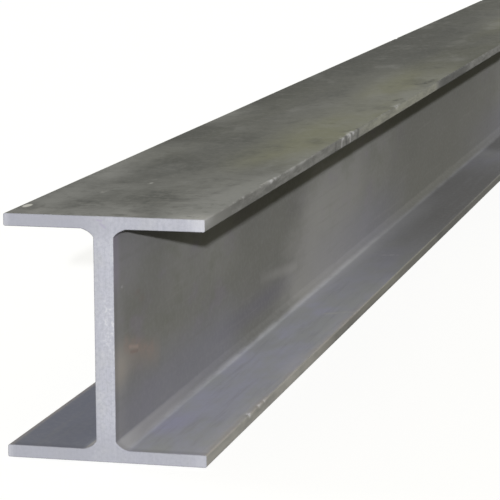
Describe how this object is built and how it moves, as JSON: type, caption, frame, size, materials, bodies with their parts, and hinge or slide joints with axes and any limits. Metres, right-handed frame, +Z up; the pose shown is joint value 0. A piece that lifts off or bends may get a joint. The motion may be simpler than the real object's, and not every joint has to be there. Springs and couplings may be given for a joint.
{
  "type": "rolled steel joist",
  "caption": "Straight hot-rolled steel joist of I-section, with parallel flanges, a web, root fillets and square sawn ends, which carries floors and walls across a span.",
  "frame": {"origin": "underside of the bottom flange, under the middle of the web, at mid length", "axes": "+Z up, +Y along the bar towards the far end, +X across the flanges to the right of the near end"},
  "size_m": [0.127, 3, 0.1524],
  "materials": {
    "hot_rolled_steel": "dull grey mill scale on the rolled faces, bright sawn ends, light scratches and a trace of rust"
  },
  "bodies": {
    "root": {"joist": "hot_rolled_steel"}
  },
  "joints": []
}
